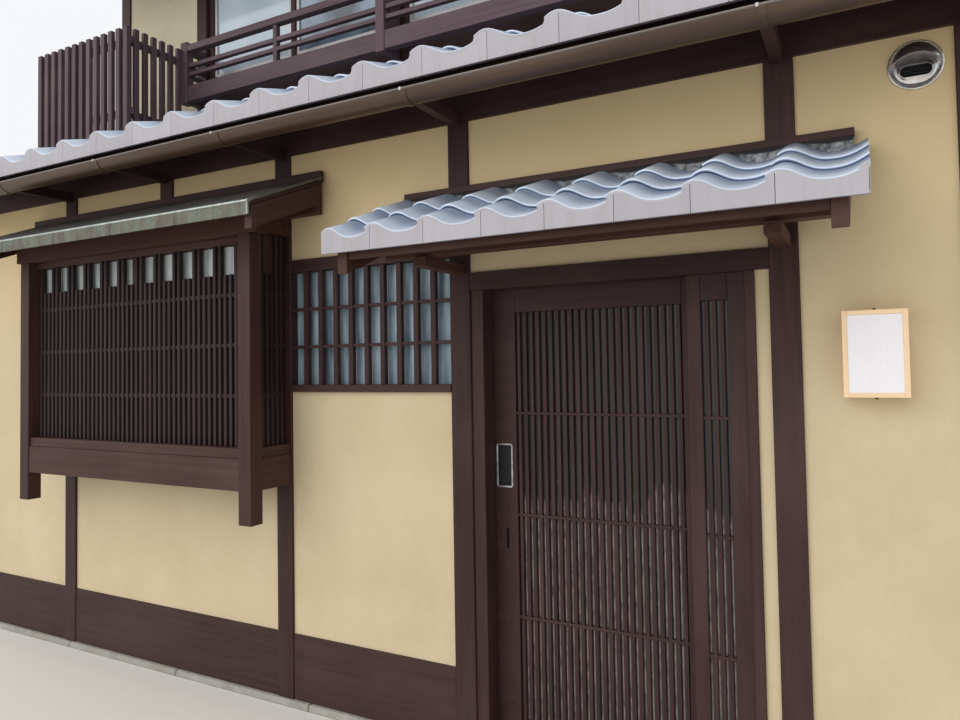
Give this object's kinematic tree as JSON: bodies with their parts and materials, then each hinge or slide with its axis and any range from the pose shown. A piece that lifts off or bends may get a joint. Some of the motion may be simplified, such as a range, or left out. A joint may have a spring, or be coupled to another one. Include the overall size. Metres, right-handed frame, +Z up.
{
  "type": "machiya townhouse",
  "caption": "Narrow two-storey timber townhouse with a sliding lattice door under a tiled canopy, a lattice bay window and a set-back upper storey above a tiled pent roof.",
  "frame": {"origin": "at street level, midway between the end posts of the front, in the plaster face of the ground-floor front wall", "axes": "+X to the right along the street front, +Y into the house, +Z up"},
  "size_m": [6.16, 8.728, 7.0842],
  "materials": {
    "kerb_stone": "rough",
    "floor_mortar": "trowelled",
    "stained_wood": "dark reddish-brown stain, matt",
    "stained_wood_light": "dark reddish-brown stain, lit side, matt",
    "door_wood": "dark stain, satin",
    "plaster_front": "fine sprayed yellow-ochre plaster",
    "plaster_upper": "fine sprayed pale plaster",
    "plaster_side": "fine sprayed plaster",
    "roof_tile": "smoked silver-grey, satin",
    "gutter_metal": "bronze-brown, satin",
    "weathered_copper": "mottled green-brown patina",
    "frosted_glass": "frosted",
    "clear_glass": "clear, dark behind",
    "pull_metal": "polished rim",
    "floor_boards": "plain boards",
    "lamp_body": "pale wood frame with a white panel",
    "vent_steel": "satin stainless"
  },
  "bodies": {
    "house": {"foundation": "kerb_stone", "ground_floor": "floor_mortar", "front_posts": "stained_wood", "front_wall": "plaster_front", "skirting": "stained_wood", "eave_beam": "stained_wood", "eave_arms": "stained_wood", "eave_purlin": "stained_wood", "eave_fascia": "stained_wood", "lower_roof_boards": "stained_wood", "lower_roof_tiles": "roof_tile", "gutter": "gutter_metal", "gutter_straps": "gutter_metal", "bay_posts": "stained_wood_light", "bay_beams": "stained_wood_light", "bay_rails": "stained_wood_light", "bay_purlin": "stained_wood_light", "bay_lattice": "stained_wood_light", "bay_window_frame": "stained_wood", "bay_glass": "frosted_glass", "bay_rafters": "stained_wood_light", "bay_roof": "weathered_copper", "wall_boards": "stained_wood", "window_frame": "stained_wood", "window_lattice": "stained_wood", "window_glass": "frosted_glass", "door_frame": "stained_wood", "door_tracks": "stained_wood", "side_panel": "door_wood", "side_panel_lattice": "door_wood", "side_panel_glass": "frosted_glass", "canopy_arms": "stained_wood_light", "canopy_beam": "stained_wood_light", "canopy_boards": "stained_wood_light", "canopy_tiles": "roof_tile", "upper_floor": "floor_boards", "upper_posts": "stained_wood", "upper_wall": "plaster_upper", "upper_windows": "stained_wood", "upper_glass": "clear_glass", "upper_beams": "stained_wood", "balustrade": "stained_wood", "slat_screen": "stained_wood", "party_walls": "plaster_side", "back_posts": "stained_wood", "back_wall": "plaster_front", "back_windows": "stained_wood", "back_glass": "clear_glass", "main_roof_boards": "stained_wood", "main_roof_tiles": "roof_tile", "lamp": "lamp_body", "vent_hood": "vent_steel"},
    "door": {"door_leaf": "door_wood", "door_lattice": "door_wood", "door_glass": "clear_glass", "door_pull": "pull_metal"}
  },
  "joints": [
    {"name": "door_slide", "type": "slide", "parent": "house", "child": "door", "axis": [1, 0, 0], "range_m": [0, 0.8]}
  ]
}
